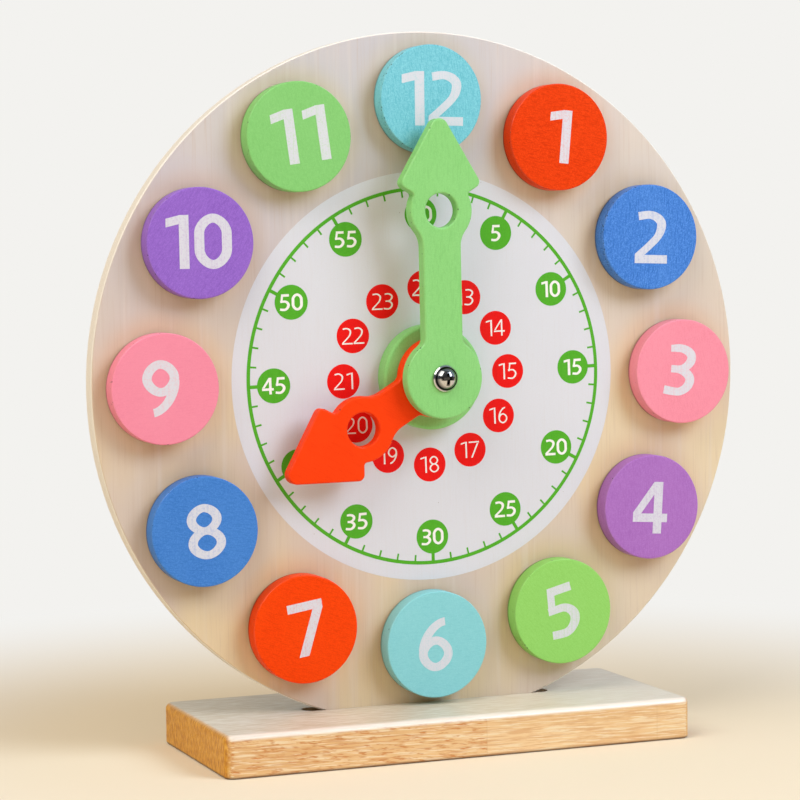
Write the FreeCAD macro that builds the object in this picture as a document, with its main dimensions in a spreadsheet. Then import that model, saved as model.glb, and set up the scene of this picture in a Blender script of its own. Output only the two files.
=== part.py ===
import FreeCAD, Part

# A wooden teaching clock: a round board glued upright in a stand, twelve number
# discs that plug into the board on short pegs, and two thick wooden hands that
# turn on one screw in front of a round spacer.
#
# Millimetres. X is to the right and Z up as the child sees the clock, whose face
# looks along -Y. The origin is on the table, under the middle of the stand.

import math
import os

import Sketcher
from FreeCAD import Placement, Rotation, Vector

# ---------------------------------------------------------------- driving sizes

SIZES = {
    # the board: plywood, standing with its bottom in a slot of the stand
    "board_radius": 125.0,
    "board_thickness": 7.0,
    "board_edge": 0.5,          # sanded rim
    "board_sink": 7.2,          # how far the circle dips below the stand's top
    "board_flat": 1.2,          # sawn off the circle's lowest point, to seat flat
    "axle_lift": 1.0,           # the axle hole sits this far above the circle's middle
    # the stand
    "base_length": 178.0,
    "base_depth": 75.0,
    "base_height": 15.0,
    "base_corner": 3.5,         # upright corners
    "base_edge": 2.0,           # rounded edges of the top
    "base_foot_edge": 1.0,      # sanded edges of the underside
    "slot_clearance": 0.1,      # on each side of the board, filled with glue
    "slot_overrun": 3.0,        # how far the slot runs on past the board
    # the number discs and the pegs glued into them
    "ring_inset": 24.5,         # from the board's rim to each disc's middle
    "six_lift": 4.6,            # the six sits this much higher, clear of the stand
    "disc_radius": 19.4,
    "disc_thickness": 7.6,
    "disc_edge": 0.7,           # eased edges
    "disc_seat_gap": 0.1,       # between a disc and the board
    "peg_radius": 4.0,
    "peg_reach": 4.4,           # how far a peg stands out of its disc
    "peg_socket": 3.5,          # how far it is glued into the disc
    "peg_end": 0.5,             # bevel on both ends
    "peg_clearance": 0.08,      # round a peg in the board, a sliding fit
    "glue_gap": 0.02,           # round a peg in its disc
    # the axle: a pan-head screw with a washer and a lock nut behind the board
    "screw_radius": 2.5,
    "screw_head_radius": 4.75,  # the thin flange round the dome
    "screw_flange": 0.75,
    "screw_flange_edge": 0.45,  # bevel
    "screw_dome_radius": 4.0,
    "screw_head_height": 3.1,
    "screw_tail": 1.5,          # thread that stands out of the nut
    "recess_reach": 2.4,        # cross recess, middle to the end of an arm
    "recess_width": 1.0,
    "recess_depth": 1.8,
    "recess_floor": 1.1,        # the same reach at the recess's floor
    "axle_clearance": 0.08,     # round the screw in the hands, a running fit
    "fixed_clearance": 0.05,    # round the screw in what doesn't turn
    "washer_radius": 6.0,
    "washer_thickness": 1.0,
    "nut_flats": 8.0,
    "nut_height": 3.6,          # the hexagon
    "nut_collar": 1.4,          # the round collar that grips the thread
    "nut_collar_radius": 3.5,
    # the spacer behind the hands
    "spacer_radius": 19.0,
    "spacer_thickness": 6.8,
    "spacer_edge": 1.2,         # well rounded in front
    "spacer_back_edge": 0.5,
    # the hands: both have the same head, and differ in where its eye sits
    "hand_thickness": 5.1,
    "hand_gap": 0.3,            # between stacked pieces that turn
    "hand_edge": 0.7,           # rounded edges of the front
    "hand_back_edge": 0.5,
    "hand_boss_radius": 14.5,   # round end on the axle
    "hand_shaft_width": 14.6,
    "hand_boss_blend": 3.5,     # where the shaft leaves the round end
    "eye_ring_radius": 11.8,    # round plate about the window
    "eye_radius": 6.1,          # the window, to read a number through
    "eye_blend": 9.0,           # where the shaft meets the ring
    "arrow_reach": 35.8,        # eye to the arrow's sharp point, before rounding
    "arrow_half_width": 15.8,   # at its sharp barbs, before rounding
    "arrow_barb_rise": 9.2,     # eye to the sharp barbs, up the hand
    "arrow_sweep": 9.3,         # how far the arrow's back slopes down to the middle
    "arrow_tip_round": 3.4,
    "arrow_barb_round": 2.3,
    "arrow_notch_round": 1.2,   # between a barb and the ring
    "minute_eye_reach": 59.7,   # axle to eye
    "hour_eye_reach": 34.0,
    "minute_angle": 359.4,      # clockwise from twelve, in degrees
    "hour_angle": 238.9,
}

HOURS = 12
STEP_ANGLE = 360 / HOURS
SLACK = 0.5                     # how near an edge lies to a place that names it

doc = FreeCAD.newDocument("TeachingClock")
sheet = doc.addObject("Spreadsheet::Sheet", "Sizes")
for row, (name, value) in enumerate(SIZES.items(), start=1):
    sheet.set(f"A{row}", name)
    sheet.set(f"B{row}", str(value))
    sheet.setAlias(f"B{row}", name)
doc.recompute()


def size(text):
    """An expression on the sheet's sizes: every name in text becomes its cell."""
    words = sorted(SIZES, key=len, reverse=True)
    for number, word in enumerate(words):
        text = text.replace(word, f"<{number}>")
    for number, word in enumerate(words):
        text = text.replace(f"<{number}>", f"Sizes.{word}")
    return text


# ------------------------------------------------- places that several parts use

BOARD_HEIGHT = "(base_height - board_sink + board_radius)"   # the circle's middle
AXLE_HEIGHT = f"({BOARD_HEIGHT} + axle_lift)"
BOARD_FRONT = "(board_thickness / 2)"                      # ahead of the middle
SPACER_FRONT = f"({BOARD_FRONT} + spacer_thickness)"
HOUR_BACK = f"({SPACER_FRONT} + hand_gap)"
MINUTE_BACK = f"({HOUR_BACK} + hand_thickness + hand_gap)"
HEAD_SEAT = f"({MINUTE_BACK} + hand_thickness + hand_gap)"
NUT_SEAT = f"({BOARD_FRONT} + washer_thickness)"           # behind the middle
NUT_LENGTH = "(nut_height + nut_collar)"
RING_RADIUS = "(board_radius - ring_inset)"                # circle of the discs' middles
SLOT_DEPTH = "(board_sink - board_flat)"
BOARD_CHORD = "sqrt(board_radius ^ 2 - (board_radius - board_sink) ^ 2)"


def ring_place(hour):
    """How far across and up from the board's middle an hour's disc has its own."""
    angle = hour * STEP_ANGLE
    lift = " + six_lift" if hour == HOURS / 2 else ""
    return f"{RING_RADIUS} * sin({angle} deg)", f"{RING_RADIUS} * cos({angle} deg){lift}"


# ------------------------------------------------------------- sketches and pads


def new_body(label, x="0", y="0", z="0"):
    """A body whose origin stands at x, y, z."""
    body = doc.addObject("PartDesign::Body", label)
    body.Label = label
    for axis, place in (("x", x), ("y", y), ("z", z)):
        body.setExpression(f"Placement.Base.{axis}", size(place))
    return body


def origin_part(body, role):
    """One of the body's own origin planes or axes."""
    return next(part for part in body.Origin.OriginFeatures if part.Role == role)


def new_sketch(body, name, plane="XZ_Plane", offset=None):
    """A sketch on an origin plane. On XZ_Plane it is seen as from the front."""
    sketch = body.newObject("Sketcher::SketchObject", name)
    sketch.AttachmentSupport = [(origin_part(body, plane), "")]
    sketch.MapMode = "FlatFace"
    if offset:
        sketch.setExpression("AttachmentOffset.Base.z", size(offset))
    return sketch


def bind(sketch, kind, *geometry, to):
    """Adds a dimension of this kind and ties it to an expression."""
    index = sketch.addConstraint(Sketcher.Constraint(kind, *geometry, 1.0))
    sketch.renameConstraint(index, f"{kind}_{index}")
    sketch.setExpression(f"Constraints.{kind}_{index}", size(to))


def join(sketch, kind, *geometry):
    sketch.addConstraint(Sketcher.Constraint(kind, *geometry))


def add_circle(sketch, radius, up=None):
    """A circle on the sketch's origin, or this far up its vertical axis."""
    height = 10.0 if up else 0.0
    circle = sketch.addGeometry(Part.Circle(Vector(0, height, 0), Vector(0, 0, 1), 5.0))
    bind(sketch, "Radius", circle, to=radius)
    if up:
        join(sketch, "PointOnObject", circle, 3, -2)
        bind(sketch, "DistanceY", -1, 1, circle, 3, to=up)
    else:
        join(sketch, "Coincident", circle, 3, -1, 1)
    return circle


def add_loop(sketch, points):
    """A closed chain of straight lines through the points."""
    ends = list(zip(points, points[1:] + points[:1]))
    lines = [sketch.addGeometry(Part.LineSegment(Vector(*a, 0), Vector(*b, 0))) for a, b in ends]
    for line, following in zip(lines, lines[1:] + lines[:1]):
        join(sketch, "Coincident", line, 2, following, 1)
    return lines


def add_box(sketch, width, height):
    """A rectangle centred on the sketch's origin."""
    bottom, right, top, left = add_loop(sketch, [(-9, -9), (9, -9), (9, 9), (-9, 9)])
    for line in (bottom, top):
        join(sketch, "Horizontal", line)
    for line in (right, left):
        join(sketch, "Vertical", line)
    join(sketch, "Symmetric", bottom, 1, right, 2, -1, 1)
    bind(sketch, "DistanceX", bottom, 1, bottom, 2, to=width)
    bind(sketch, "DistanceY", right, 1, right, 2, to=height)


def add_rod_profile(sketch, half_width, bottom, top):
    """A rectangle about the vertical axis, from one height to another."""
    low, right, high, left = add_loop(sketch, [(-9, 5), (9, 5), (9, 25), (-9, 25)])
    join(sketch, "Horizontal", high)
    for line in (right, left):
        join(sketch, "Vertical", line)
    join(sketch, "Symmetric", low, 1, low, 2, -2)
    bind(sketch, "DistanceX", -1, 1, low, 2, to=half_width)
    bind(sketch, "DistanceY", -1, 1, low, 2, to=bottom)
    bind(sketch, "DistanceY", -1, 1, high, 2, to=top)


def pad(body, sketch, length, backwards=False):
    """Extrudes a sketch: from XZ_Plane, forwards is towards the child."""
    feature = body.newObject("PartDesign::Pad", sketch.Name + "_pad")
    feature.Profile = sketch
    feature.Reversed = backwards
    feature.setExpression("Length", size(length))
    sketch.Visibility = False
    doc.recompute()
    return feature


def pocket(body, sketch, depth=None, backwards=False, both_ways=False):
    """Cuts a sketch out of the body, and fails if nothing came away."""
    before = body.Shape.Volume
    feature = body.newObject("PartDesign::Pocket", sketch.Name + "_pocket")
    feature.Profile = sketch
    feature.Reversed = backwards
    feature.Midplane = both_ways
    if depth:
        feature.setExpression("Length", size(depth))
    else:
        feature.Type = "ThroughAll"
    doc.recompute()
    if body.Shape.Volume >= before:
        raise RuntimeError(f"{feature.Name} cuts nothing")
    return feature


def ease(body, name, edges, radius, kind="Fillet"):
    """Rounds or bevels the edges for which edges(edge) is true."""
    base = body.Tip
    names = [f"Edge{i}" for i, edge in enumerate(base.Shape.Edges, start=1) if edges(edge)]
    if not names:
        raise RuntimeError(f"{name} finds no edges")
    feature = body.newObject(f"PartDesign::{kind}", f"{body.Name}_{name}")
    feature.Base = (base, names)
    feature.setExpression("Radius" if kind == "Fillet" else "Size", size(radius))
    doc.recompute()
    return feature


def polar(body, feature, angle, count, axis="Y_Axis"):
    """Repeats a feature about one of the body's axes."""
    pattern = body.newObject("PartDesign::PolarPattern", feature.Name + "_ring")
    pattern.Originals = [feature]
    pattern.Axis = (origin_part(body, axis), [""])
    pattern.Angle = angle
    pattern.Occurrences = count
    body.Tip = pattern
    doc.recompute()
    return pattern


def is_across(edge):
    """True for a straight edge that runs front to back."""
    if edge.Curve.TypeId != "Part::GeomLine":
        return False
    return abs(edge.Curve.Direction.y) > 0.999


def is_level(edge, axis, value=None):
    """True for an edge that lies in one plane square to the axis."""
    low = getattr(edge.BoundBox, axis.upper() + "Min")
    high = getattr(edge.BoundBox, axis.upper() + "Max")
    return high - low < 0.01 and (value is None or abs(low - value) < 0.01)


def is_round(edge):
    return edge.Curve.TypeId == "Part::GeomCircle"


def is_front(edge, thickness):
    """True for an edge of the face that looks at the child, this far ahead of the back."""
    return is_level(edge, "y", -get(thickness))


def get(name):
    return float(sheet.get(name))


def bore(body, radius, up=None):
    """A round hole through everything, on the body's own axis or this far above it."""
    hole = new_sketch(body, f"{body.Name}_bore")
    add_circle(hole, radius, up=up)
    return pocket(body, hole, both_ways=True)


# ------------------------------------------------------------------- the board


def make_board():
    """A plywood circle with a flat foot, an axle hole and twelve peg holes."""
    body = new_body("board", y=f"-{BOARD_FRONT}", z=BOARD_HEIGHT)

    outline = new_sketch(body, "board_outline")
    start, end = math.radians(-60), math.radians(240)
    rim = sketch_arc(outline, (0, 0), get("board_radius"), start, end)
    foot = outline.addGeometry(Part.LineSegment(outline.getPoint(rim, 2), outline.getPoint(rim, 1)))
    join(outline, "Coincident", rim, 3, -1, 1)
    join(outline, "Coincident", rim, 2, foot, 1)
    join(outline, "Coincident", foot, 2, rim, 1)
    join(outline, "Horizontal", foot)
    bind(outline, "Radius", rim, to="board_radius")
    bind(outline, "DistanceY", foot, 1, -1, 1, to="board_radius - board_flat")
    pad(body, outline, "board_thickness", backwards=True)
    ease(body, "rim", is_round, "board_edge", kind="Chamfer")

    bore(body, "screw_radius + fixed_clearance", up="axle_lift")
    peg_holes = new_sketch(body, "peg_holes")
    for hour in range(1, HOURS + 1):
        across, up = ring_place(hour)
        angle = math.radians(hour * STEP_ANGLE)
        hint = Vector(math.sin(angle), math.cos(angle), 0) * (get("board_radius") - get("ring_inset"))
        hole = peg_holes.addGeometry(Part.Circle(hint, Vector(0, 0, 1), get("peg_radius")))
        bind(peg_holes, "Radius", hole, to="peg_radius + peg_clearance")
        bind(peg_holes, "DistanceX", -1, 1, hole, 3, to=across)
        bind(peg_holes, "DistanceY", -1, 1, hole, 3, to=up)
    pocket(body, peg_holes, both_ways=True)
    return body


def sketch_arc(sketch, centre, radius, start, end):
    circle = Part.Circle(Vector(*centre, 0), Vector(0, 0, 1), radius)
    return sketch.addGeometry(Part.ArcOfCircle(circle, start, end))


# ------------------------------------------------------------------- the stand


def make_base():
    """A hardwood bar with sanded edges and a routed slot for the board."""
    body = new_body("base")
    outline = new_sketch(body, "base_outline", "XY_Plane")
    add_box(outline, "base_length", "base_depth")
    pad(body, outline, "base_height")
    ease(body, "corners", lambda edge: edge.BoundBox.ZLength > 1, "base_corner")
    ease(body, "top_edges", lambda edge: is_level(edge, "z", get("base_height")), "base_edge")
    ease(body, "foot_edges", lambda edge: is_level(edge, "z", 0), "base_foot_edge")

    # the router leaves round ends, so the slot is longer than the board's chord
    slot = new_sketch(body, "base_slot", "XY_Plane", offset="base_height")
    right = sketch_arc(slot, (40, 0), 4, -math.pi / 2, math.pi / 2)
    left = sketch_arc(slot, (-40, 0), 4, math.pi / 2, 3 * math.pi / 2)
    back = slot.addGeometry(Part.LineSegment(Vector(40, 4, 0), Vector(-40, 4, 0)))
    front = slot.addGeometry(Part.LineSegment(Vector(-40, -4, 0), Vector(40, -4, 0)))
    join(slot, "Tangent", right, 2, back, 1)
    join(slot, "Tangent", back, 2, left, 1)
    join(slot, "Tangent", left, 2, front, 1)
    join(slot, "Tangent", front, 2, right, 1)
    join(slot, "Symmetric", left, 3, right, 3, -1, 1)
    join(slot, "PointOnObject", right, 3, -1)
    join(slot, "Equal", left, right)
    bind(slot, "Radius", right, to="board_thickness / 2 + slot_clearance")
    bind(slot, "DistanceX", -1, 1, right, 3, to=f"{BOARD_CHORD} + slot_overrun")
    pocket(body, slot, SLOT_DEPTH)
    return body


# --------------------------------------------------------- number discs and pegs


def disc_body(label, hour):
    """A body on the middle of an hour's disc, where it seats on the board."""
    across, up = ring_place(hour)
    front = f"-({BOARD_FRONT} + disc_seat_gap)"
    return new_body(label, across, front, f"{BOARD_HEIGHT} + {up}")


def make_number_disc(hour):
    """A turned disc with eased edges and a blind hole behind for its peg."""
    body = disc_body(f"number_disc_{hour}", hour)
    outline = new_sketch(body, f"disc_{hour}_outline")
    add_circle(outline, "disc_radius")
    pad(body, outline, "disc_thickness")
    ease(body, "edges", lambda edge: is_level(edge, "y"), "disc_edge", kind="Chamfer")
    socket = new_sketch(body, f"disc_{hour}_socket")
    add_circle(socket, "peg_radius + glue_gap")
    pocket(body, socket, "peg_socket", backwards=True)
    return body


def make_disc_peg(hour):
    """A dowel, glued into the disc and sliding in the board."""
    body = disc_body(f"disc_peg_{hour}", hour)
    outline = new_sketch(body, f"peg_{hour}_outline", offset="-peg_reach")
    add_circle(outline, "peg_radius")
    pad(body, outline, "peg_reach + peg_socket")
    ease(body, "ends", lambda edge: is_level(edge, "y"), "peg_end", kind="Chamfer")
    return body


# ----------------------------------------------------------- the axle's hardware


def make_screw():
    """A flanged pan-head screw: turned shape first, then the cross recess."""
    body = new_body("axle_screw", y=f"-{HEAD_SEAT}", z=AXLE_HEIGHT)

    # half section: the sketch's X is the radius, and its Y runs to the back
    section = new_sketch(body, "screw_section", "XY_Plane")
    corners = [(0, -3), (0, 30), (2, 30), (2, 0), (5, 0), (5, -0.5), (4.5, -1), (4, -1)]
    pairs = list(zip(corners, corners[1:]))
    lines = [section.addGeometry(Part.LineSegment(Vector(*a, 0), Vector(*b, 0))) for a, b in pairs]
    axis, tail, shank, seat, side, bevel, ledge = lines
    dome = sketch_arc(section, (0, 2), 5.0, -math.pi / 2, -math.pi / 5)
    for line, following in zip(lines, lines[1:]):
        join(section, "Coincident", line, 2, following, 1)
    join(section, "Coincident", ledge, 2, dome, 2)
    join(section, "Coincident", dome, 1, axis, 1)
    for line in (axis, shank, side):
        join(section, "Vertical", line)
    for line in (tail, seat, ledge):
        join(section, "Horizontal", line)
    join(section, "PointOnObject", axis, 1, -2)
    join(section, "PointOnObject", dome, 3, -2)
    join(section, "PointOnObject", seat, 1, -1)
    bind(section, "DistanceX", -1, 1, shank, 2, to="screw_radius")
    bind(section, "DistanceX", -1, 1, side, 1, to="screw_head_radius")
    bind(section, "DistanceX", bevel, 2, bevel, 1, to="screw_flange_edge")
    bind(section, "DistanceY", bevel, 2, bevel, 1, to="screw_flange_edge")
    bind(section, "DistanceX", -1, 1, ledge, 2, to="screw_dome_radius")
    bind(section, "DistanceY", ledge, 2, -1, 1, to="screw_flange")
    bind(section, "DistanceY", axis, 1, -1, 1, to="screw_head_height")
    stack = f"{HEAD_SEAT} + {NUT_SEAT} + {NUT_LENGTH} + screw_tail"
    bind(section, "DistanceY", -1, 1, axis, 2, to=stack)

    turned = body.newObject("PartDesign::Revolution", "screw_turned")
    turned.Profile = section
    turned.ReferenceAxis = (origin_part(body, "Y_Axis"), [""])
    turned.Angle = 360
    doc.recompute()

    # one slot of the cross, deeper in the middle, and the same a quarter turn on
    slot = new_sketch(body, "recess_section", "YZ_Plane")
    _, outer, _, inner = add_loop(slot, [(-1, -1), (-4, -2), (-4, 2), (-1, 1)])
    join(slot, "Symmetric", inner, 2, inner, 1, -1)
    join(slot, "Symmetric", outer, 1, outer, 2, -1)
    bind(slot, "DistanceX", outer, 1, -1, 1, to="screw_head_height")
    bind(slot, "DistanceX", outer, 1, inner, 1, to="recess_depth")
    bind(slot, "DistanceY", outer, 1, outer, 2, to="2 * recess_reach")
    bind(slot, "DistanceY", inner, 2, inner, 1, to="2 * recess_floor")
    polar(body, pocket(body, slot, "recess_width", both_ways=True), 90, 2)
    return body


def make_washer():
    body = new_body("back_washer", y=BOARD_FRONT, z=AXLE_HEIGHT)
    outline = new_sketch(body, "washer_outline")
    add_circle(outline, "washer_radius")
    add_circle(outline, "screw_radius + fixed_clearance")
    pad(body, outline, "washer_thickness", backwards=True)
    return body


def make_lock_nut():
    """A hexagon with a round collar behind it, bored for the thread."""
    def piece(kind, name, **sizes):
        shape = doc.addObject(kind, name)
        for key, expression in sizes.items():
            shape.setExpression(key, size(expression))
        return shape

    hexagon = piece("Part::Prism", "nut_hexagon", Height="nut_height",
                    Circumradius="nut_flats / 2 / cos(30 deg)")
    hexagon.Polygon = 6
    collar = piece("Part::Cylinder", "nut_ring", Height=NUT_LENGTH, Radius="nut_collar_radius")
    thread = piece("Part::Cylinder", "nut_thread", Height=NUT_LENGTH,
                   Radius="screw_radius + fixed_clearance")
    blank = doc.addObject("Part::Fuse", "nut_blank")
    blank.Base, blank.Tool = hexagon, collar
    nut = doc.addObject("Part::Cut", "lock_nut")
    nut.Base, nut.Tool = blank, thread
    nut.Label = "lock_nut"
    nut.Placement = Placement(Vector(0, 0, 0), Rotation(Vector(1, 0, 0), -90))
    nut.setExpression("Placement.Base.y", size(NUT_SEAT))
    nut.setExpression("Placement.Base.z", size(AXLE_HEIGHT))
    doc.recompute()
    return nut


def make_spacer():
    """The round block that keeps the hands clear of the numbers."""
    body = new_body("hub_spacer", y=f"-{BOARD_FRONT}", z=AXLE_HEIGHT)
    outline = new_sketch(body, "spacer_outline")
    add_circle(outline, "spacer_radius")
    pad(body, outline, "spacer_thickness")
    ease(body, "front", lambda edge: is_front(edge, "spacer_thickness"), "spacer_edge")
    ease(body, "back", lambda edge: is_level(edge, "y", 0), "spacer_back_edge", kind="Chamfer")
    bore(body, "screw_radius + fixed_clearance")
    return body


# ------------------------------------------------------------------- the hands


def make_hand(label, eye, back, angle):
    """One hand, drawn upright about its axle hole and turned to its hour.

    Four plates overlap to give the sawn outline: the round end, the shaft, the
    ring about the window and the arrow. The corners where they meet are blended
    one kind after another, and last the edges of the two faces are eased.
    """
    body = new_body(label, y=f"-{back}", z=AXLE_HEIGHT)
    body.Placement.Rotation = Rotation(Vector(0, 1, 0), 1)
    body.setExpression("Placement.Rotation.Angle", f"{size(angle)} * 1 deg")

    boss = new_sketch(body, f"{label}_boss")
    add_circle(boss, "hand_boss_radius")
    pad(body, boss, "hand_thickness")

    shaft = new_sketch(body, f"{label}_shaft")
    add_rod_profile(shaft, "hand_shaft_width / 2", "hand_boss_radius / 2", eye)
    pad(body, shaft, "hand_thickness")

    ring = new_sketch(body, f"{label}_ring")
    add_circle(ring, "eye_ring_radius", up=eye)
    pad(body, ring, "hand_thickness")

    # the arrow's back slopes from each barb in to a point hidden in the ring
    arrow = new_sketch(body, f"{label}_arrow")
    barb_z = get("arrow_barb_rise") + get(eye)
    hint = [(0, barb_z - 5), (15, barb_z), (0, barb_z + 30), (-15, barb_z)]
    back_right, side_right, side_left, back_left = add_loop(arrow, hint)
    join(arrow, "PointOnObject", back_right, 1, -2)
    join(arrow, "PointOnObject", side_right, 2, -2)
    join(arrow, "Symmetric", back_right, 2, side_left, 2, -2)
    bind(arrow, "DistanceX", -1, 1, back_right, 2, to="arrow_half_width")
    bind(arrow, "DistanceY", -1, 1, back_right, 2, to=f"{eye} + arrow_barb_rise")
    bind(arrow, "DistanceY", back_right, 1, back_right, 2, to="arrow_sweep")
    bind(arrow, "DistanceY", -1, 1, side_right, 2, to=f"{eye} + arrow_reach")
    pad(body, arrow, "hand_thickness")

    # the sharp corners, known by how far up the hand they are
    eye_up = get(eye)
    barb_up = eye_up + get("arrow_barb_rise")
    tip_up = eye_up + get("arrow_reach")

    def corners(low, high):
        return lambda edge: is_across(edge) and low < edge.CenterOfMass.z < high

    ease(body, "notches", corners(eye_up + SLACK, barb_up - SLACK), "arrow_notch_round")
    ease(body, "barbs", corners(barb_up - SLACK, barb_up + SLACK), "arrow_barb_round")
    ease(body, "tip", corners(tip_up - SLACK, tip_up + SLACK), "arrow_tip_round")
    ease(body, "neck", corners(get("hand_boss_radius"), eye_up - SLACK), "eye_blend")
    ease(body, "root", corners(SLACK, get("hand_boss_radius")), "hand_boss_blend")

    window = new_sketch(body, f"{label}_window")
    add_circle(window, "eye_radius", up=eye)
    pocket(body, window, both_ways=True)
    ease(body, "front", lambda edge: is_front(edge, "hand_thickness"), "hand_edge")
    ease(body, "back", lambda edge: is_level(edge, "y", 0), "hand_back_edge", kind="Chamfer")
    bore(body, "screw_radius + axle_clearance")
    return body


# ------------------------------------------------------------ build, check, save


parts = [
    make_board(),
    make_base(),
    make_spacer(),
    make_hand("hour_hand", "hour_eye_reach", HOUR_BACK, "hour_angle"),
    make_hand("minute_hand", "minute_eye_reach", MINUTE_BACK, "minute_angle"),
    make_screw(),
    make_washer(),
    make_lock_nut(),
]
for hour in range(1, HOURS + 1):
    parts += [make_number_disc(hour), make_disc_peg(hour)]
doc.recompute()

failed = [item.Name for item in doc.Objects if {"Invalid", "Error"} & set(item.State)]
if failed:
    raise RuntimeError(f"failed objects: {failed}")

os.makedirs("parts", exist_ok=True)
for part in parts:
    shape = part.Shape
    if shape.isNull() or not shape.isValid() or len(shape.Solids) != 1:
        raise RuntimeError(f"{part.Label} is not one valid solid")
    shape.exportStep(os.path.join("parts", f"{part.Label}.step"))
    box = shape.BoundBox
    print(f"{part.Label:18} {shape.Volume:10.1f} mm3   "
          f"{box.XLength:7.2f} x {box.YLength:6.2f} x {box.ZLength:7.2f}")
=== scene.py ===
# %% [markdown]
# # A wooden teaching clock
# The clock is a round plywood board that stands in a hardwood foot. Twelve painted number discs
# are pegged round its edge, a dial is screen printed in its middle, and two painted hands turn on
# one screw. The CAD model fixes every size and every moving part. This lesson dresses it.
#
# All lengths are metres. +Z is up and the clock faces -Y, so a point on the dial at the clock
# angle a and the radius r lies at x = r sin a, z = axle height + r cos a.

# %% Load the CAD frame
import math

import bmesh
import bpy
from mathutils import Matrix, Vector
from mathutils.geometry import delaunay_2d_cdt


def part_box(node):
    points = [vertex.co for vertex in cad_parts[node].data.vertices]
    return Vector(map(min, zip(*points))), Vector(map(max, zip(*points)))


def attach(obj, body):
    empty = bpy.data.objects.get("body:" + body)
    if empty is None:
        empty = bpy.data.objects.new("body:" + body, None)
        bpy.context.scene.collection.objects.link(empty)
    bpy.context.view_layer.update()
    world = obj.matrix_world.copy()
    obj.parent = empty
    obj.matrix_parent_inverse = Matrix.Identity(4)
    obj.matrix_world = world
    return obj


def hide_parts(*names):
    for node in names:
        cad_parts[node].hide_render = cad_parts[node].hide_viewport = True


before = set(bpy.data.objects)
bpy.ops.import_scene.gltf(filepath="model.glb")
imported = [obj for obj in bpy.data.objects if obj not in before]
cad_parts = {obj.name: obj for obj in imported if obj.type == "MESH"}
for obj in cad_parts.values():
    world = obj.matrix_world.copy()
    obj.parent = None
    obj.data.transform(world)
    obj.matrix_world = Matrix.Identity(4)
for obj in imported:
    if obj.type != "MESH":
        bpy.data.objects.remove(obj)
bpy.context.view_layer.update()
MM = 0.001

# %% [markdown]
# ## Where things are
# The places come from the CAD nodes, so a change of the CAD model moves the looks with it. The
# board's front face carries the print. The axle hole sits a little above the board's middle.

# %% Places read from the CAD nodes
board_low, board_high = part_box("board")
screw_low, screw_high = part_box("axle_screw")
base_low, base_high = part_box("base")
FACE = board_low.y
AXLE_X = (screw_low.x + screw_high.x) / 2
AXLE_Z = (screw_low.z + screw_high.z) / 2
BOARD_RADIUS = (board_high.x - board_low.x) / 2
BOARD_Z = board_high.z - BOARD_RADIUS
print(f"axle height {AXLE_Z / MM:.1f} mm, board radius {BOARD_RADIUS / MM:.1f} mm")


def on_dial(angle, radius):
    """The x and z of a point at a clock angle, in degrees clockwise from 12."""
    turn = math.radians(angle)
    return AXLE_X + radius * math.sin(turn), AXLE_Z + radius * math.cos(turn)


def put_in_scene(name, data):
    """An object with this data, linked to the scene."""
    made = bpy.data.objects.new(name, data)
    bpy.context.scene.collection.objects.link(made)
    return made


# %% [markdown]
# ## The camera
# A long lens stands a little to the left of the clock and slightly above it. A Track To constraint
# could aim it, but a matrix built from three turns is exact: yaw about the vertical, pitch about
# the lens, then roll.

# %% Camera
CAMERA_PLACE = (-0.3585, -0.8822, 0.1863)
CAMERA_YAW, CAMERA_PITCH, CAMERA_ROLL = 21.61, -3.68, -0.69
SENSOR_WIDTH, LENS = 36.0, 118.08     # mm

camera_data = bpy.data.cameras.new("camera")
camera_data.sensor_width, camera_data.lens = SENSOR_WIDTH, LENS
camera_data.clip_start, camera_data.clip_end = 0.01, 100.0
camera = put_in_scene("camera", camera_data)
camera.matrix_world = (
    Matrix.Translation(CAMERA_PLACE)
    @ Matrix.Rotation(math.radians(-CAMERA_YAW), 4, "Z")
    @ Matrix.Rotation(math.radians(90 + CAMERA_PITCH), 4, "X")
    @ Matrix.Rotation(math.radians(CAMERA_ROLL), 4, "Z")
)
bpy.context.scene.camera = camera
print("camera lens", camera_data.lens, "mm")

# %% [markdown]
# ## Helpers for materials
# Paint charts give colours as sRGB hex values, and Blender's sockets want linear light, so one
# function converts. Others add a node and feed its inputs from a table, where a socket is linked, a
# hex colour is converted and a plain value is typed in. A socket knows its tree, so the helpers that
# get a socket build in that tree.

# %% Colour and node helpers
def linear(code):
    """An sRGB hex colour as the linear RGBA that Blender's sockets take."""
    levels = [int(code[i:i + 2], 16) / 255 for i in (1, 3, 5)]
    return tuple(c / 12.92 if c <= 0.04045 else ((c + 0.055) / 1.055) ** 2.4 for c in levels) + (1.0,)


def feed(node, inputs):
    """Links or sets the inputs of a node, whose id_data is its tree."""
    for socket, value in inputs.items():
        if isinstance(value, bpy.types.NodeSocket):
            node.id_data.links.new(value, node.inputs[socket])
        else:
            node.inputs[socket].default_value = linear(value) if isinstance(value, str) else value


def add_node(tree, kind, inputs=None, **settings):
    """A new node. The settings are its attributes."""
    made = tree.nodes.new(kind)
    for name, value in settings.items():
        setattr(made, name, value)
    feed(made, inputs or {})
    return made


def new_material(name):
    """A new material, its tree and its Principled shader."""
    made = bpy.data.materials.new(name)
    made.use_nodes = True
    shader = made.node_tree.nodes["Principled BSDF"]
    return made, made.node_tree, shader


def object_place(tree):
    """The Object coordinates, in metres."""
    return add_node(tree, "ShaderNodeTexCoord").outputs["Object"]


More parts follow.
